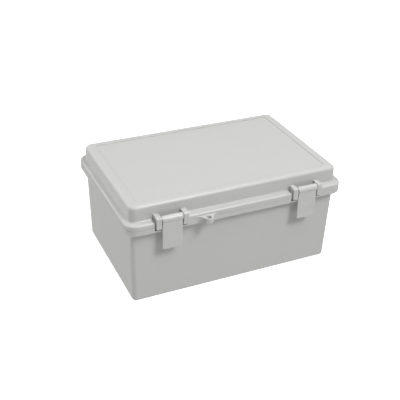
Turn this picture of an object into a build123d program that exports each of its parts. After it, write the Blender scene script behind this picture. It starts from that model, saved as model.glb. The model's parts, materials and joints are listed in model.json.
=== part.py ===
from build123d import *
from math import atan, copysign, degrees
import os

# Hinged plastic junction box with two front latches.
# Millimetres. X runs along the front, -Y faces the front, +Z is up.
# The origin is the middle of the flat underside.
# "Inset" is always the distance in from the front face of the rim.
# At the ends the rim overhangs less, so there the same inset reaches less far in, by end_gain.

# Overall
rim_length = 280.0
rim_depth = 190.0
rim_corner = 14.5
total_height = 130.0
end_gain = 2.6
smallest_corner = 3.0
cut_past = 1.0

# Base tub
flange_bottom = 97.6
flange_thick = 3.0
parting_height = 104.3
base_inset = 9.5
base_wall = 3.0
base_draft = 1.95
floor_thick = 3.5
tub_corner = 5.5
bottom_round = 2.5
lip_thick = 2.6
flange_bevel = 0.8
tongue_inset = 10.4
tongue_top = 106.8

# Lid
ledge_top = 110.8
ledge_thick = 3.0
lid_foot_inset = 8.9
lid_top_inset = 9.4
lid_wall = 3.0
lid_roof = 3.0
dome_corner = 8.0
lid_top_round = 4.0
lid_foot_round = 2.2
ledge_round = 2.0
lip_bevel = 0.4
panel_length = 242.4
panel_depth = 151.2
panel_corner = 3.0
panel_sink = 0.5

# Seal channel inside the lid, closed by the tongue of the base
skirt_inset = 7.1
skirt_bottom = 102.5
channel_outer_inset = 9.2
channel_inner_inset = 13.5
channel_rib_inset = 15.0
channel_rib_bottom = 104.8
channel_roof = 109.5
channel_roof_thick = 2.0
gasket_play = 0.15
gasket_lift = 0.05

# Stiffening ribs in the trough of the base and under the ledge of the lid
rim_rib_pitch = 45.0
rim_rib_thick = 1.6
rim_rib_bite = 0.3
base_rib_top = 101.9
lid_rib_bottom = 105.2

# Latches
latch_offset = 87.3
notch_width = 40.6
jamb_gap = 0.4
jamb_step = 0.8
jamb_clear = 1.0
lug_gap = 27.0
lug_thick = 6.0
lug_front = 98.0
lug_bottom = 103.2
lug_top = 117.4
lug_top_round = 1.6
lug_foot = 0.9
lug_foot_top = 108.6
lug_foot_depth = 2.4
latch_axis_y = -94.5
latch_axis_z = 113.4
latch_pin_r = 1.5
pin_sink = 0.3
barrel_r = 4.2
barrel_length = 25.2
plate_width = 24.4
plate_front = 97.6
plate_thick = 2.0
plate_bottom = 75.0
plate_corner = 3.2
plate_edge_round = 0.6
catch_depth = 2.4
catch_side = 0.6
nose_reach = 93.0
nose_width = 19.3
nose_top = 100.0
nose_flat = 1.6
nose_high = 5.5
nose_root = 0.5
lever_rib_offset = 7.7
lever_rib_thick = 1.6
lever_rib_high = 1.2

# Rear hinges
hinge_offset = 87.3
hinge_axis_y = 100.0
hinge_axis_z = parting_height
knuckle_r = 4.5
hinge_pin_r = 2.0
base_knuckle = 16.0
lid_knuckle = 8.0
knuckle_gap = 0.5
knuckle_seam = 0.2

# Padlock eye
eye_x = -44.5
eye_reach = 6.1
eye_tip_r = 5.2
eye_half_foot = 15.0
eye_hole_r = 3.0
eye_bottom = 101.9
eye_top = 107.8

# Fits, as clearance on each side
tight_fit = 0.02
running_fit = 0.06

# Inner mounting plate and its fixings
plate_boss_x = 104.0
plate_boss_y = 60.0
plate_boss_r = 4.8
plate_seat = 11.0
gusset_top = 9.0
gusset_reach = 5.0
gusset_thick = 1.6
panel_half_x = 123.0
panel_half_y = 75.0
panel_thick = 1.5
panel_clear = 1.0
panel_hole_r = 2.3
screw_r = 1.95
screw_length = 7.5
screw_head_half_width = 3.5
screw_head_high = 2.8
insert_half_width = 2.8
insert_bore_r = 2.0
insert_length = 7.0

# Wall fixing blocks in the corners of the tub, blind from the underside
pillar_x = 119.0
pillar_y = 71.5
pillar_half = 6.0
pillar_top = 15.0
fixing_hole_depth = 12.0
fixing_half_width = 3.4
fixing_bore_r = 2.1
fixing_insert_length = 9.0
fixing_recess = 0.2

base_angle = degrees(atan(base_draft / flange_bottom))
lid_angle = degrees(atan((lid_top_inset - lid_foot_inset) / (total_height - ledge_top)))
rim_front = -rim_depth / 2
rim_back = rim_depth / 2
lug_root = rim_front + channel_outer_inset
latch_centres = (-latch_offset, latch_offset)
hinge_centres = (-hinge_offset, hinge_offset)
plate_bosses = [(x, y) for x in (-plate_boss_x, plate_boss_x) for y in (-plate_boss_y, plate_boss_y)]
pillars = [(x, y) for x in (-pillar_x, pillar_x) for y in (-pillar_y, pillar_y)]
panel_corners = [(x, y) for x in (-panel_half_x, panel_half_x) for y in (-panel_half_y, panel_half_y)]
corner_cut_x = panel_half_x - pillar_x + pillar_half + panel_clear
corner_cut_y = panel_half_y - pillar_y + pillar_half + panel_clear

os.makedirs("parts", exist_ok=True)


def plan(inset):
    """Length, depth and corner radius of the rim's plan, drawn smaller by the inset."""
    gain = end_gain if inset > lip_thick else 0
    corner = max(rim_corner - inset, smallest_corner)
    return rim_length - 2 * (inset - gain), rim_depth - 2 * inset, corner


def outline(inset, height):
    """The rim's rounded rectangle, drawn smaller by the inset."""
    with BuildSketch(Plane.XY.offset(height)) as shape:
        RectangleRounded(*plan(inset))
    return shape.sketch


def band(outer, inner, height):
    """A closed band between two insets."""
    with BuildSketch(Plane.XY.offset(height)) as shape:
        RectangleRounded(*plan(outer))
        RectangleRounded(*plan(inner), mode=Mode.SUBTRACT)
    return shape.sketch


def drafted_block(inset, height, rise, angle, corner):
    """A block with drafted sides and rounded upright edges, for the tub, the dome and their hollows."""
    length, depth, _ = plan(inset)
    with BuildPart() as form:
        with Locations((0, 0, height)):
            Box(length, depth, rise, align=(Align.CENTER, Align.CENTER, Align.MIN))
        draft(form.faces().filter_by(Axis.Z, reverse=True), Plane.XY.offset(height), angle)
        fillet(form.edges().filter_by(Plane.XY, reverse=True), corner)
    return form.part


def hexagon(places, height, half_width, depth, mode):
    """Upright hexagonal prisms below one height, for the inserts and their pockets."""
    with BuildSketch(Plane.XY.offset(height)) as shape:
        with Locations(places):
            RegularPolygon(half_width, 6, major_radius=False)
    extrude(shape.sketch, amount=-depth, mode=mode)


def block(x_low, x_high, y_low, y_high, z_low, z_high, mode=Mode.ADD):
    """A straight block between two opposite corners, for ribs and notches."""
    with Locations(((x_low + x_high) / 2, (y_low + y_high) / 2, (z_low + z_high) / 2)):
        Box(x_high - x_low, y_high - y_low, z_high - z_low, mode=mode)


def rim_edges(part, height):
    """Edges of the rim's outer face at one height."""
    level = part.edges().filter_by_position(Axis.Z, height, height)
    near_x = rim_length / 2 - lip_thick
    near_y = rim_depth / 2 - lip_thick
    corner_x = near_x - rim_corner / 2
    corner_y = near_y - rim_corner / 2
    return level.filter_by(
        lambda edge: abs(edge.center().X) > near_x
        or abs(edge.center().Y) > near_y
        or (abs(edge.center().X) > corner_x and abs(edge.center().Y) > corner_y)
    )


def rim_ribs(z_low, z_high):
    """Small ribs that tie the outer lip to the wall, clear of the latch notches."""
    inner = lip_thick - rim_rib_bite
    outer = (skirt_inset if z_low > parting_height else base_inset) + rim_rib_bite
    clear = notch_width / 2 + rim_rib_thick
    for step in range(-2, 3):
        x = step * rim_rib_pitch
        for side in (-1, 1):
            if side < 0 and min(abs(x - centre) for centre in latch_centres) < clear:
                continue
            reach = sorted((side * (rim_back - inner), side * (rim_back - outer)))
            block(x - rim_rib_thick / 2, x + rim_rib_thick / 2, *reach, z_low, z_high)
    for step in range(-1, 2):
        y = step * rim_rib_pitch
        for side in (-1, 1):
            reach = sorted((side * (rim_length / 2 - inner), side * (rim_length / 2 - outer + end_gain)))
            block(*reach, y - rim_rib_thick / 2, y + rim_rib_thick / 2, z_low, z_high)


def latch_jambs(centre, inner_inset, z_low, z_high):
    """Cross walls in the trough beside a latch, stepped back from the rim's face."""
    for side in (-1, 1):
        near = centre + side * (lug_gap / 2 + lug_thick + jamb_gap)
        far = centre + side * (notch_width / 2 + rim_rib_bite)
        block(*sorted((near, far)), rim_front + jamb_step, rim_front + inner_inset, z_low, z_high)


def padlock_eye(z_low, z_high):
    """Flat eye that flares out of the rim in two hollow curves and ends in a round tip."""
    spread = eye_half_foot**2 + eye_reach**2 - eye_tip_r**2
    hollow_r = spread / (2 * (eye_tip_r + eye_reach))
    join = hollow_r / (hollow_r + eye_tip_r)
    join_x = eye_half_foot * (1 - join)
    join_y = hollow_r - (hollow_r - eye_reach) * join
    left = (eye_x - eye_half_foot, rim_front)
    right = (eye_x + eye_half_foot, rim_front)
    left_join = (eye_x - join_x, rim_front - join_y)
    right_join = (eye_x + join_x, rim_front - join_y)
    tip = (eye_x, rim_front - eye_reach - eye_tip_r)
    root = rim_front + lip_thick / 2
    with BuildSketch(Plane.XY.offset(z_low)) as shape:
        with BuildLine():
            TangentArc(left, left_join, tangent=(1, 0))
            ThreePointArc(left_join, tip, right_join)
            TangentArc(right, right_join, tangent=(-1, 0))
            Polyline(right, (right[0], root), (left[0], root), left)
        make_face()
        with Locations((eye_x, rim_front - eye_reach)):
            Circle(eye_hole_r, mode=Mode.SUBTRACT)
    extrude(shape.sketch, amount=z_high - z_low)


def knuckle(x_low, x_high, hole_r, above):
    """Hinge knuckle with the short arm that joins it to the rim, above or below the parting line."""
    arm_low = knuckle_seam if above else -knuckle_r
    arm_high = knuckle_r if above else -knuckle_seam
    with BuildSketch(Plane.YZ.offset(x_low)) as shape:
        with Locations((hinge_axis_y, hinge_axis_z)):
            Circle(knuckle_r)
        with BuildLine():
            Polyline(
                (rim_back - lip_thick / 2, hinge_axis_z + arm_low),
                (hinge_axis_y, hinge_axis_z + arm_low),
                (hinge_axis_y, hinge_axis_z + arm_high),
                (rim_back - lip_thick / 2, hinge_axis_z + arm_high),
                close=True,
            )
        make_face()
        with Locations((hinge_axis_y, hinge_axis_z)):
            Circle(hole_r, mode=Mode.SUBTRACT)
    extrude(shape.sketch, amount=x_high - x_low)


tub_foot = base_inset + base_draft
tub_length, tub_depth, _ = plan(tub_foot)
tub_form = drafted_block(tub_foot, 0, flange_bottom, -base_angle, tub_corner)
tub_hollow = drafted_block(
    tub_foot + base_wall, floor_thick, flange_bottom - floor_thick, -base_angle, tub_corner - base_wall
)
hollow_base = channel_roof + channel_roof_thick
hollow_rise = total_height - lid_roof - hollow_base
dome_form = drafted_block(lid_foot_inset, ledge_top, total_height - ledge_top, lid_angle, dome_corner)
dome_hollow = drafted_block(
    lid_foot_inset + lid_wall, hollow_base, hollow_rise, lid_angle, dome_corner - lid_wall
)

# Base shell: tub with a gutter-shaped flange, a tongue for the seal and inner bosses
with BuildPart() as base_shell:
    add(tub_form)
    fillet(base_shell.edges().group_by(Axis.Z)[0], bottom_round)
    extrude(outline(0, flange_bottom), amount=parting_height - flange_bottom)
    chamfer(rim_edges(base_shell, flange_bottom), flange_bevel)
    gutter = band(lip_thick, base_inset, flange_bottom + flange_thick)
    extrude(gutter, amount=tongue_top - flange_bottom, mode=Mode.SUBTRACT)
    extrude(outline(tongue_inset, parting_height), amount=tongue_top - parting_height)
    add(tub_hollow, mode=Mode.SUBTRACT)
    throat = outline(base_inset + base_wall, flange_bottom)
    extrude(throat, amount=tongue_top - flange_bottom, mode=Mode.SUBTRACT)
    rim_ribs(flange_bottom + flange_thick, base_rib_top)

    for centre in latch_centres:
        block(
            centre - notch_width / 2, centre + notch_width / 2,
            rim_front - cut_past, rim_front + lip_thick,
            flange_bottom + flange_thick, parting_height + cut_past, mode=Mode.SUBTRACT,
        )
        catch_half = nose_width / 2 + catch_side
        block(
            centre - catch_half, centre + catch_half,
            rim_front - cut_past, rim_front + catch_depth,
            flange_bottom - cut_past, flange_bottom + flange_thick + cut_past, mode=Mode.SUBTRACT,
        )
        latch_jambs(centre, skirt_inset - jamb_clear, flange_bottom + flange_thick / 2, parting_height)
    padlock_eye(eye_bottom, parting_height)
    for centre in hinge_centres:
        knuckle(
            centre - base_knuckle / 2, centre + base_knuckle / 2, hinge_pin_r + tight_fit, above=False
        )

    for x, y in plate_bosses:
        with Locations((x, y, floor_thick / 2)):
            Cylinder(
                plate_boss_r, plate_seat - floor_thick / 2, align=(Align.CENTER, Align.CENTER, Align.MIN)
            )
        reach = plate_boss_r + gusset_reach
        block(x - reach, x + reach, y - gusset_thick / 2, y + gusset_thick / 2, floor_thick / 2, gusset_top)
        block(x - gusset_thick / 2, x + gusset_thick / 2, y - reach, y + reach, floor_thick / 2, gusset_top)
    hexagon(plate_bosses, plate_seat, insert_half_width + tight_fit, insert_length, Mode.SUBTRACT)

    for x, y in pillars:
        reach_x = sorted((x - copysign(pillar_half, x), copysign(tub_length / 2 - base_wall / 2, x)))
        reach_y = sorted((y - copysign(pillar_half, y), copysign(tub_depth / 2 - base_wall / 2, y)))
        block(*reach_x, *reach_y, floor_thick / 2, pillar_top)
    hexagon(pillars, fixing_hole_depth, fixing_half_width + tight_fit, fixing_hole_depth, Mode.SUBTRACT)

# Lid shell: ledge with a downturned lip, drafted dome, seal channel, lugs and hinge knuckles
with BuildPart() as lid_shell:
    extrude(outline(0, parting_height), amount=ledge_top - parting_height)
    add(dome_form)
    fillet(lid_shell.edges().group_by(Axis.Z)[-1], lid_top_round)
    foot = lid_shell.edges().filter_by_position(Axis.Z, ledge_top, ledge_top)
    fillet(foot - rim_edges(lid_shell, ledge_top), lid_foot_round)
    fillet(rim_edges(lid_shell, ledge_top), ledge_round)
    chamfer(rim_edges(lid_shell, parting_height), lip_bevel)
    with BuildSketch(Plane.XY.offset(total_height)) as panel:
        RectangleRounded(panel_length, panel_depth, panel_corner)
    extrude(panel.sketch, amount=-panel_sink, mode=Mode.SUBTRACT)

    underside = band(lip_thick, skirt_inset, parting_height)
    extrude(underside, amount=ledge_top - ledge_thick - parting_height, mode=Mode.SUBTRACT)
    channel = band(channel_outer_inset, channel_inner_inset, parting_height)
    extrude(channel, amount=channel_roof - parting_height, mode=Mode.SUBTRACT)
    mouth = outline(channel_inner_inset, parting_height)
    extrude(mouth, amount=channel_rib_bottom - parting_height, mode=Mode.SUBTRACT)
    neck = outline(channel_rib_inset, parting_height)
    extrude(neck, amount=channel_roof + channel_roof_thick - parting_height, mode=Mode.SUBTRACT)
    add(dome_hollow, mode=Mode.SUBTRACT)
    skirt = band(skirt_inset, channel_outer_inset, skirt_bottom)
    extrude(skirt, amount=parting_height - skirt_bottom)
    rim_ribs(lid_rib_bottom, ledge_top - ledge_thick)

    for centre in latch_centres:
        block(
            centre - notch_width / 2, centre + notch_width / 2,
            rim_front - cut_past, rim_front + skirt_inset,
            parting_height - cut_past, ledge_top + lid_foot_round, mode=Mode.SUBTRACT,
        )
        latch_jambs(centre, skirt_inset + rim_rib_bite, parting_height, ledge_top)
        for side in (-1, 1):
            near = centre + side * lug_gap / 2
            far = near + side * lug_thick
            with BuildSketch(Plane.YZ.offset(min(near, far))) as lug:
                with BuildLine():
                    Polyline(
                        (-lug_front, lug_bottom),
                        (-lug_front, lug_top),
                        (lug_root, lug_top),
                        (lug_root, lug_bottom),
                        close=True,
                    )
                make_face()
                fillet(lug.vertices().group_by(Axis.X)[0].sort_by(Axis.Y)[-1], lug_top_round)
                with Locations((latch_axis_y, latch_axis_z)):
                    Circle(latch_pin_r + tight_fit, mode=Mode.SUBTRACT)
            extrude(lug.sketch, amount=lug_thick)
            with BuildSketch(Plane.XZ.offset(lug_front)) as wedge:
                with BuildLine():
                    Polyline(
                        (near, lug_bottom),
                        (near - side * lug_foot, lug_bottom),
                        (near, lug_foot_top),
                        close=True,
                    )
                make_face()
            extrude(wedge.sketch, amount=-lug_foot_depth)

    padlock_eye(parting_height, eye_top)
    for centre in hinge_centres:
        for side in (-1, 1):
            near = centre + side * (base_knuckle / 2 + knuckle_gap)
            far = near + side * lid_knuckle
            knuckle(*sorted((near, far)), hinge_pin_r + running_fit, above=True)

# Lid gasket: soft ring at the top of the channel, resting on the tongue
with BuildPart() as lid_gasket:
    gasket_foot = tongue_top + gasket_lift
    ring = band(channel_outer_inset + gasket_play, channel_inner_inset - gasket_play, gasket_foot)
    extrude(ring, amount=channel_roof - gasket_foot)

# Mounting plate: flat galvanised sheet with its corners cut away round the fixing blocks
with BuildPart() as mounting_plate:
    with BuildSketch(Plane.XY.offset(plate_seat)):
        Rectangle(2 * panel_half_x, 2 * panel_half_y)
        with Locations(panel_corners):
            Rectangle(2 * corner_cut_x, 2 * corner_cut_y, mode=Mode.SUBTRACT)
        with Locations(plate_bosses):
            Circle(panel_hole_r, mode=Mode.SUBTRACT)
    extrude(amount=panel_thick)

# Plate screws: four hexagon heads
with BuildPart() as plate_screws:
    seat = plate_seat + panel_thick
    hexagon(plate_bosses, seat + screw_head_high, screw_head_half_width, screw_head_high, Mode.ADD)
    with Locations([(x, y, seat) for x, y in plate_bosses]):
        Cylinder(screw_r, screw_length, align=(Align.CENTER, Align.CENTER, Align.MAX))

# Plate inserts: four hexagonal brass bushes set in the plate bosses
with BuildPart() as plate_inserts:
    hexagon(plate_bosses, plate_seat, insert_half_width, insert_length, Mode.ADD)
    with Locations([(x, y, plate_seat) for x, y in plate_bosses]):
        Hole(insert_bore_r, insert_length)

# Wall inserts: four hexagonal brass bushes set in the corner blocks from below
with BuildPart() as wall_inserts:
    fixing_top = fixing_recess + fixing_insert_length
    hexagon(pillars, fixing_top, fixing_half_width, fixing_insert_length, Mode.ADD)
    with Locations([(x, y, fixing_top) for x, y in pillars]):
        Hole(fixing_bore_r, fixing_insert_length)

fixed_parts = {
    "base_shell": base_shell,
    "lid_shell": lid_shell,
    "lid_gasket": lid_gasket,
    "mounting_plate": mounting_plate,
    "plate_screws": plate_screws,
    "plate_inserts": plate_inserts,
    "wall_inserts": wall_inserts,
}
for name, piece in fixed_parts.items():
    piece.part.label = name
    export_step(piece.part, f"parts/{name}.step")

# Latch levers and their pins, one of each per latch
for hand, centre in zip(("left", "right"), latch_centres):
    with BuildPart() as latch_lever:
        with BuildSketch(Plane.XZ.offset(plate_front)) as plate:
            with Locations((centre, (latch_axis_z + plate_bottom) / 2)):
                Rectangle(plate_width, latch_axis_z - plate_bottom)
            fillet(plate.vertices().group_by(Axis.Y)[0], plate_corner)
        extrude(plate.sketch, amount=-plate_thick)
        fillet(latch_lever.edges().group_by(Axis.Y)[0], plate_edge_round)
        with BuildSketch(Plane.YZ.offset(centre - barrel_length / 2)) as barrel:
            with Locations((latch_axis_y, latch_axis_z)):
                Circle(barrel_r)
        extrude(barrel.sketch, amount=barrel_length)
        back = plate_thick - plate_front
        with BuildSketch(Plane.YZ.offset(centre - nose_width / 2)) as nose:
            with BuildLine():
                Polyline(
                    (back - nose_root, nose_top),
                    (-nose_reach, nose_top),
                    (-nose_reach, nose_top - nose_flat),
                    (back - nose_root, nose_top - nose_high),
                    close=True,
                )
            make_face()
        extrude(nose.sketch, amount=nose_width)
        for offset in (-lever_rib_offset, 0, lever_rib_offset):
            x = centre + offset
            block(
                x - lever_rib_thick / 2, x + lever_rib_thick / 2,
                back - nose_root, back + lever_rib_high,
                plate_bottom + plate_corner, nose_top - nose_flat,
            )
        with Locations(Location((centre, latch_axis_y, latch_axis_z), (0, 90, 0))):
            Cylinder(latch_pin_r + running_fit, 2 * barrel_length, mode=Mode.SUBTRACT)
    latch_lever.part.label = f"latch_lever_{hand}"
    export_step(latch_lever.part, f"parts/latch_lever_{hand}.step")

    with BuildPart() as latch_pin:
        with Locations(Location((centre, latch_axis_y, latch_axis_z), (0, 90, 0))):
            Cylinder(latch_pin_r, lug_gap + 2 * lug_thick - 2 * pin_sink)
    latch_pin.part.label = f"latch_pin_{hand}"
    export_step(latch_pin.part, f"parts/latch_pin_{hand}.step")

# Hinge pins, pressed in the middle knuckle and running in the lid's two
for hand, centre in zip(("left", "right"), hinge_centres):
    with BuildPart() as hinge_pin:
        with Locations(Location((centre, hinge_axis_y, hinge_axis_z), (0, 90, 0))):
            Cylinder(hinge_pin_r, base_knuckle + 2 * (knuckle_gap + lid_knuckle) - 2 * pin_sink)
    hinge_pin.part.label = f"hinge_pin_{hand}"
    export_step(hinge_pin.part, f"parts/hinge_pin_{hand}.step")
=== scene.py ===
import bpy, bmesh, json, math
from mathutils import Matrix, Vector


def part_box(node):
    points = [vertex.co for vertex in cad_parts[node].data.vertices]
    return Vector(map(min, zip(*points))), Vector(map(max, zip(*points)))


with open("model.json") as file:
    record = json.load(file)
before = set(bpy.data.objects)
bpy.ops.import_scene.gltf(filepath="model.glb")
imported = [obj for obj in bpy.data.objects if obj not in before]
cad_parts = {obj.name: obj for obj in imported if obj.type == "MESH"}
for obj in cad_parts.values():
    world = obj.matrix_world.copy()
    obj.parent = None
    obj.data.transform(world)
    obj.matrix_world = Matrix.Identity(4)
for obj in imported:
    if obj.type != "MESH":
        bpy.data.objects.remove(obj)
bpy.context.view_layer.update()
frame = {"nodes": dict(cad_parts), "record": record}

nodes = frame["nodes"]
mm = 0.001
white = (1.0, 1.0, 1.0, 1.0)


class Sock:  # one output of a node, so that shader maths reads as plain expressions
    def __init__(self, graph, socket):
        self.graph, self.socket = graph, socket

    def maths(self, operation, a, b, clamp=False):
        return self.graph.node("ShaderNodeMath", {0: a, 1: b}, operation=operation, use_clamp=clamp)

    def __add__(self, other):
        return self.maths("ADD", self, other)

    def __radd__(self, other):
        return self.maths("ADD", other, self)

    def __sub__(self, other):
        return self.maths("SUBTRACT", self, other)

    def __rsub__(self, other):
        return self.maths("SUBTRACT", other, self)

    def __mul__(self, other):
        return self.maths("MULTIPLY", self, other)

    def __rmul__(self, other):
        return self.maths("MULTIPLY", other, self)

    def __truediv__(self, other):
        return self.maths("DIVIDE", self, other)

    def __rtruediv__(self, other):
        return self.maths("DIVIDE", other, self)

    def __pow__(self, other):
        return self.maths("POWER", self, other)

    def __abs__(self):
        return self.maths("ABSOLUTE", self, 0)

    def clamped(self):
        return self.maths("ADD", self, 0, clamp=True)

    def above(self, limit):  # 1 where the value is over the limit, else 0
        return self.maths("GREATER_THAN", self, limit)

    def atLeast(self, limit):
        return self.maths("MAXIMUM", self, limit)

    def atMost(self, limit):
        return self.maths("MINIMUM", self, limit)


class Graph:  # the nodes of one material, or of the world
    def __init__(self, owner):
        owner.use_nodes = True
        self.owner, self.tree = owner, owner.node_tree
        self.tree.nodes.clear()

    def node(self, kind, sockets=None, output=0, stops=None, **settings):
        made = self.tree.nodes.new(kind)
        for key, value in settings.items():
            setattr(made, key, value)
        if stops:
            for element, (place, level) in zip(made.color_ramp.elements, stops):
                element.position = place
                element.color = (level, level, level, 1)
        for key, value in (sockets or {}).items():
            self.plug(made.inputs[key], value)
        return Sock(self, made.outputs[output]) if made.outputs else None

    def plug(self, socket, value):
        if isinstance(value, Sock):
            self.tree.links.new(value.socket, socket)
        else:
            socket.default_value = value

    def place(self):  # where a point lies in the frame, in metres
        return self.node("ShaderNodeTexCoord", output="Object")

    def axes(self):
        vector = self.place()
        return [self.node("ShaderNodeSeparateXYZ", {"Vector": vector}, output=axis) for axis in "XYZ"]

    def wave(self, value):
        return self.node("ShaderNodeMath", {0: value}, operation="SINE")

    def noise(self, size, detail=3.0, rough=0.55):
        sockets = {"Vector": self.place(), "Scale": 1 / size, "Detail": detail, "Roughness": rough}
        return self.node("ShaderNodeTexNoise", sockets, output="Fac")

    def cells(self, vector, size, output):
        return self.node("ShaderNodeTexVoronoi", {"Vector": vector, "Scale": 1 / size}, output=output)

    def ramp(self, value, *stops):  # two stops, each a place and a level
        return self.node("ShaderNodeValToRGB", {"Fac": value}, stops=stops)

    def blend(self, factor, a, b):
        return self.node("ShaderNodeMix", {0: factor, 6: a, 7: b}, output=2, data_type="RGBA")

    def softNormal(self, radius):
        return self.node("ShaderNodeBevel", {"Radius": radius}, samples=6)

    def edges(self, radius, start=0.02, full=0.22):  # 1 where the softened normal leans away, 0 on the flats
        soft = self.softNormal(radius)
        true = self.node("ShaderNodeNewGeometry", output="True Normal")
        along = self.node("ShaderNodeVectorMath", {0: soft, 1: true}, output="Value", operation="DOT_PRODUCT")
        return self.ramp(1 - along, (start, 0.0), (full, 1.0))

    def bump(self, height, distance, strength=1.0, normal=None):
        sockets = {"Height": height, "Distance": distance, "Strength": strength}
        if normal:
            sockets["Normal"] = normal
        return self.node("ShaderNodeBump", sockets)

    def shade(self, sockets):
        shader = self.node("ShaderNodeBsdfPrincipled", sockets, output="BSDF")
        self.node("ShaderNodeOutputMaterial", {"Surface": shader})
        return self.owner


def newFinish(name):
    return Graph(bpy.data.materials.new(name))


def tint(colour, factor):
    return tuple(min(1.0, c * factor) for c in colour) + (1.0,)


def shades(g, factor, look):  # from the darker to the lighter shade of a finish
    darker, lighter = look["shades"]
    return g.blend(factor, tint(look["colour"], darker), tint(look["colour"], lighter))


def sway(value, amount):  # a noise value turned into a small change either way
    return amount * (value - 0.5)


housingLook = {
    "colour": (0.600, 0.600, 0.590), "shades": (0.988, 1.012), "roughness": 0.30, "ior": 1.52,
    "grain": 0.35 * mm, "grainDepth": 0.012 * mm, "grainBump": 0.6, "grainGloss": 0.10,
    "clouds": 38 * mm, "cloudGloss": 0.05,
    # the edge lift lightens the rounded edges: partly rub wear, partly a painted highlight
    "edge": 0.5 * mm, "edgeHighlightLift": 1.04, "edgeGloss": 0.06,
    "rubAndHighlightPatches": 9 * mm, "leastRubAndHighlight": (0.42, 0.35), "fullRubAndHighlight": (0.62, 1.0),
    # painted shade along the lid's panel line: how much of it, and the tone it darkens to
    "panelShadeShare": 0.5, "panelShadeTone": 0.6, "marks": True,
}
latchLook = {
    **housingLook, "colour": (0.615, 0.615, 0.606), "shades": (0.990, 1.010), "roughness": 0.28,
    "grain": 0.28 * mm, "grainDepth": 0.008 * mm, "clouds": 16 * mm, "edge": 0.35 * mm, "edgeHighlightLift": 1.05,
    "panelShadeShare": 0, "marks": False,
}

panelSet = {"inset": (12.05 * mm, 10.05 * mm), "corner": 3 * mm, "line": 0.5 * mm, "sunk": 1 * mm}


def panelShadeLine(g, look):  # 1 along the line where the sunk panel of the lid meets its rim, where painted shade darkens the colour
    x, y, z = g.axes()
    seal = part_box("lid_gasket")[1]
    insetX, insetY = look["inset"]
    across = abs(x) - (seal.x - insetX - look["corner"])
    along = abs(y) - (seal.y - insetY - look["corner"])
    outside = (across.atLeast(0) ** 2 + along.atLeast(0) ** 2) ** 0.5
    inside = across.atLeast(along).atMost(0)
    near = abs(outside + inside - look["corner"]) / look["line"]
    return (1 - near).clamped() * z.above(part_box("lid_shell")[1].z - look["sunk"])


mouldSet = {
    "pins": ((92 * mm, 52 * mm), (30 * mm, 52 * mm), (92 * mm, 0)), "pinRadius": 4 * mm, "pinRim": 0.35 * mm,
    "roof": (3.4 * mm, 2.6 * mm), "depth": 0.12 * mm,
    "gateRadius": 2.6 * mm, "dimpleRadius": 9 * mm, "dimple": 0.5, "foot": 0.05 * mm,
}


def mouldMarks(g, look):  # rims of the ejector pins inside the lid, and the gate in its dimple under the base
    x, y, z = g.axes()
    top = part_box("lid_shell")[1].z
    under, over = look["roof"]
    roof = z.above(top - under) * (1 - z.above(top - over))
    marks = 0
    for placeX, placeY in look["pins"]:
        reach = ((abs(x) - placeX) ** 2 + (abs(y) - placeY) ** 2) ** 0.5
        marks = (1 - abs(reach - look["pinRadius"]) / look["pinRim"]).clamped() * roof + marks
    middle = (x ** 2 + y ** 2) ** 0.5
    gate = 1 - middle.above(look["gateRadius"]) - look["dimple"] * (1 - middle.above(look["dimpleRadius"]))
    return marks + gate * (1 - z.above(look["foot"]))


def mouldedPlastic(name, look):  # spark-eroded mould finish with faint flow clouds, edges lightened as rub wear and painted highlight, and painted shade along the lid's panel line
    g = newFinish(name)
    grain = g.noise(look["grain"], detail=2.0, rough=0.6)
    clouds = g.noise(look["clouds"], detail=2.0, rough=0.5)
    patches = g.ramp(g.noise(look["rubAndHighlightPatches"], detail=4.0), look["leastRubAndHighlight"], look["fullRubAndHighlight"])
    # edges lightened in patches: partly rub wear, partly a painted highlight on the rounded edges
    rubAndHighlight = g.edges(look["edge"]) * patches
    colour = g.blend(rubAndHighlight, shades(g, clouds, look), tint(look["colour"], look["edgeHighlightLift"]))
    # painted shade: the colour darkens along the panel's border line, where the step shades it
    if look["panelShadeShare"]:
        paintedPanelShade = panelShadeLine(g, panelSet) * look["panelShadeShare"]
        colour = g.blend(paintedPanelShade, colour, tint(look["colour"], look["panelShadeTone"]))
    rough = look["roughness"] + sway(grain, look["grainGloss"]) + sway(clouds, look["cloudGloss"])
    rough = rough - look["edgeGloss"] * rubAndHighlight
    normal = g.bump(grain, look["grainDepth"], look["grainBump"], g.softNormal(look["edge"]))
    if look["marks"]:
        normal = g.bump(mouldMarks(g, mouldSet), mouldSet["depth"], normal=normal)
    return g.shade({"Base Color": colour, "Roughness": rough, "Normal": normal, "IOR": look["ior"]})


sealLook = {
    "colour": (0.055, 0.056, 0.060), "shades": (0.80, 1.35), "roughness": 0.74,
    "cells": 0.6 * mm, "cellDepth": 0.05 * mm, "cellBump": 0.7, "skin": 3 * mm, "skinGloss": 0.12,
}


def foamedSeal(name, look):  # poured foam strip with tiny open cells
    g = newFinish(name)
    cells = g.cells(g.place(), look["cells"], "Distance")
    skin = g.noise(look["skin"])
    return g.shade({
        "Base Color": shades(g, skin, look), "Roughness": look["roughness"] + sway(skin, look["skinGloss"]),
        "Normal": g.bump(cells, look["cellDepth"], look["cellBump"]),
    })


plateLook = {
    "colour": (0.60, 0.61, 0.62), "shades": (0.93, 1.05), "roughness": 0.38, "metal": 0.9,
    "spangle": 4.5 * mm, "spangleGloss": 0.10, "bend": 4 * mm, "bendShare": 0.0035,
    "frost": 1.2 * mm, "frostDepth": 0.01 * mm, "frostBump": 0.5, "frostGloss": 0.10, "edge": 0.2 * mm,
}


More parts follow.
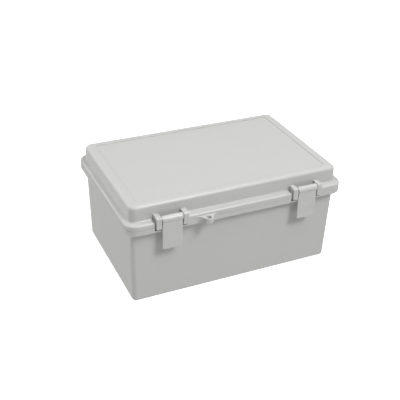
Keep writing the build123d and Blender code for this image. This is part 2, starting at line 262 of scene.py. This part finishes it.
def galvanised(name, look):  # zinc spangle: flat crystals of slightly different tone and gloss
    g = newFinish(name)
    warp = g.node("ShaderNodeTexNoise", {"Vector": g.place(), "Scale": 1 / look["bend"]}, output="Color")
    bent = g.blend(look["bendShare"], g.place(), warp)
    crystal = g.cells(bent, look["spangle"], "Color")
    tone = g.node("ShaderNodeSeparateColor", {"Color": crystal}, output="Red")
    frost = g.noise(look["frost"], detail=4.0, rough=0.65)
    rough = look["roughness"] + sway(tone, look["spangleGloss"]) + sway(frost, look["frostGloss"])
    normal = g.bump(frost, look["frostDepth"], look["frostBump"], g.softNormal(look["edge"]))
    return g.shade({
        "Base Color": shades(g, tone, look), "Metallic": look["metal"], "Roughness": rough, "Normal": normal,
    })


steelLook = {
    "colour": (0.50, 0.50, 0.48), "shades": (0.82, 1.08), "roughness": 0.30, "metal": 1.0, "edge": 0.15 * mm,
    "rings": 0.25 * mm, "ringDepth": 0.006 * mm, "ringBump": 0.5, "ringGloss": 0.06,
    "dull": 2.5 * mm, "dullGloss": 0.18, "bores": (),
}
brassLook = {
    **steelLook, "colour": (0.69, 0.50, 0.22), "pitch": 0.8 * mm, "threadDepth": 0.3 * mm,
    "bores": (("wall_inserts", 3.4 * mm, 2.3 * mm), ("plate_inserts", 2.8 * mm, 2.2 * mm)),
}  # each bore: the node of its hexagons, half their width across the flats, and how far the thread reaches


def threads(g, look):  # helical wave inside the bores of the inserts, one at each corner of a rectangle
    x, y, z = g.axes()
    height = 0
    for node, halfWidth, reach in look["bores"]:
        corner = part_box(node)[1]
        across = abs(x) - (corner.x - halfWidth / math.cos(math.pi / 6))
        along = abs(y) - (corner.y - halfWidth)
        turn = g.node("ShaderNodeMath", {0: along, 1: across}, operation="ARCTAN2")
        inside = 1 - ((across ** 2 + along ** 2) ** 0.5).above(reach)
        height = inside * (0.5 + 0.5 * g.wave(z * (2 * math.pi / look["pitch"]) + turn)) + height
    return height


def turnedMetal(name, look):  # turned rod with fine cross rings and a few dull patches
    g = newFinish(name)
    rings = g.noise(look["rings"], detail=1.0)
    dull = g.noise(look["dull"], detail=4.0, rough=0.6)
    rough = look["roughness"] + sway(dull, look["dullGloss"]) + sway(rings, look["ringGloss"])
    normal = g.bump(rings, look["ringDepth"], look["ringBump"], g.softNormal(look["edge"]))
    if look["bores"]:
        normal = g.bump(threads(g, look), look["threadDepth"], normal=normal)
    return g.shade({
        "Base Color": shades(g, dull, look), "Metallic": look["metal"], "Roughness": rough, "Normal": normal,
    })


def dressNodes(finishes):  # each node keeps its mesh and takes the finish that the record names for it
    slotOf = {part["node"]: part["material_slot"] for part in frame["record"]["subparts"]}
    for name, piece in nodes.items():
        finish = finishes[slotOf[name]]
        if not piece.data.materials:
            piece.data.materials.append(finish)
        for slot in piece.material_slots:
            slot.material = finish


dressNodes({
    "housing": mouldedPlastic("housingPlastic", housingLook),
    "latch": mouldedPlastic("latchPlastic", latchLook),
    "seal": foamedSeal("sealFoam", sealLook),
    "plate": galvanised("galvanisedSheet", plateLook),
    "steel": turnedMetal("platedSteel", steelLook),
    "brass": turnedMetal("turnedBrass", brassLook),
})
print("finishes on", len(nodes), "nodes")

paperSet = {
    "colour": (0.40, 0.40, 0.40), "shades": (0.995, 1.005), "roughness": 0.9, "glow": 1.0, "fibre": 0.8 * mm,
}
mirrorSet = {**paperSet, "colour": (0.0, 0.0, 0.0), "glow": 0.13}
stageSet = {"half": 6.0, "floorGap": 0.2 * mm, "mirrorGap": 0.4 * mm, "domeRadius": 8.0, "domeRings": 24}


def paper(name, look):
    g = newFinish(name)
    return g.shade({
        "Base Color": shades(g, g.noise(look["fibre"]), look), "Roughness": look["roughness"],
        "Emission Color": white, "Emission Strength": look["glow"],
    })


def stagePiece(name, form, finish):  # paper that lights nothing: the world and the soft boxes do that
    mesh = bpy.data.meshes.new(name)
    form.to_mesh(mesh)
    form.free()
    mesh.materials.append(finish)
    piece = bpy.data.objects.new(name, mesh)
    bpy.context.scene.collection.objects.link(piece)
    piece.visible_diffuse = piece.visible_shadow = False
    return piece


def sheet(half, gap):
    form = bmesh.new()
    under = Matrix.Translation((0, 0, -gap))
    bmesh.ops.create_grid(form, x_segments=1, y_segments=1, size=half, matrix=under)
    return form


def dome(radius, rings):
    form = bmesh.new()
    bmesh.ops.create_uvsphere(form, u_segments=2 * rings, v_segments=rings, radius=radius)
    return form


def makeStage(look):
    pale = paper("palePaper", paperSet)
    stagePiece("studioFloor", sheet(look["half"], look["floorGap"]), pale).visible_glossy = False
    dim = paper("dimPaper", mirrorSet)  # the floor as the gloss of the walls shows it
    stagePiece("mirroredFloor", sheet(look["half"], look["mirrorGap"]), dim).visible_camera = False
    stagePiece("studioDome", dome(look["domeRadius"], look["domeRings"]), pale).visible_glossy = False


makeStage(stageSet)
print("stage set")

lightSet = {
    "above": 0.03, "below": 0.82, "turnover": 0.08, "aim": (0, 0, 0.07),
    "boxes": {
        "keyBox": {"place": (0.69, -1.89, 2.30), "size": 0.9, "power": 45.0, "seenBy": "all"},
        "topBox": {"place": (0.0, -0.05, 3.07), "size": 3.0, "power": 52.0, "seenBy": "all"},
        "leftBox": {"place": (-1.98, 2.12, 0.85), "size": 3.2, "power": 82.0, "seenBy": "flats"},
        "leftSheen": {"place": (-1.98, 2.12, 0.85), "size": 3.2, "power": 45.0, "seenBy": "gloss"},
        "rightBox": {"place": (1.90, 0.34, 2.37), "size": 2.6, "power": 22.0, "seenBy": "all"},
    },
}


def softBox(name, look, aim):
    lamp = bpy.data.lights.new(name, "AREA")
    lamp.shape, lamp.size, lamp.energy = "SQUARE", look["size"], look["power"]
    light = bpy.data.objects.new(name, lamp)
    light.location = look["place"]
    light.rotation_euler = (Vector(aim) - Vector(look["place"])).to_track_quat("-Z", "Y").to_euler()
    light.visible_camera = False
    light.visible_diffuse = look["seenBy"] != "gloss"
    light.visible_glossy = look["seenBy"] != "flats"
    bpy.context.scene.collection.objects.link(light)


def makeWorld(look):  # a dark room above, and the light that a pale table throws back from below
    world = bpy.context.scene.world = bpy.data.worlds.new("studioWorld")
    g = Graph(world)
    direction = g.node("ShaderNodeTexCoord", output="Generated")
    height = g.node("ShaderNodeSeparateXYZ", {"Vector": direction}, output="Z")
    strength = g.node("ShaderNodeMapRange", {
        "Value": height, "From Min": -look["turnover"], "From Max": look["turnover"],
        "To Min": look["below"], "To Max": look["above"],
    })
    background = g.node("ShaderNodeBackground", {"Color": white, "Strength": strength})
    g.node("ShaderNodeOutputWorld", {"Surface": background})


makeWorld(lightSet)
for name, look in lightSet["boxes"].items():
    softBox(name, look, lightSet["aim"])
print("world and", len(lightSet["boxes"]), "soft boxes set")

cameraSet = {
    "target": (-0.0076, 0.0034, 0.0648), "azimuth": -25.094, "elevation": 30.568, "distance": 0.9639,
    "roll": 1.575, "lens": 67.43, "sensor": 36.0,
}


def makeCamera(look):  # azimuth 0 looks along +Y
    azimuth, elevation, roll = (math.radians(look[key]) for key in ("azimuth", "elevation", "roll"))
    level = math.cos(elevation)
    forward = Vector((-math.sin(azimuth) * level, math.cos(azimuth) * level, -math.sin(elevation)))
    right = forward.cross(Vector((0, 0, 1))).normalized()
    up = right.cross(forward)
    sideways = right * math.cos(roll) + up * math.sin(roll)
    upright = up * math.cos(roll) - right * math.sin(roll)
    lens = bpy.data.cameras.new("studioCamera")
    lens.lens, lens.sensor_width = look["lens"], look["sensor"]
    camera = bpy.data.objects.new("studioCamera", lens)
    camera.matrix_world = Matrix((sideways, upright, -forward)).transposed().to_4x4()
    camera.location = Vector(look["target"]) - forward * look["distance"]
    bpy.context.scene.collection.objects.link(camera)
    bpy.context.scene.camera = camera


makeCamera(cameraSet)
bpy.context.scene.view_settings.view_transform = "Standard"
print("camera set")
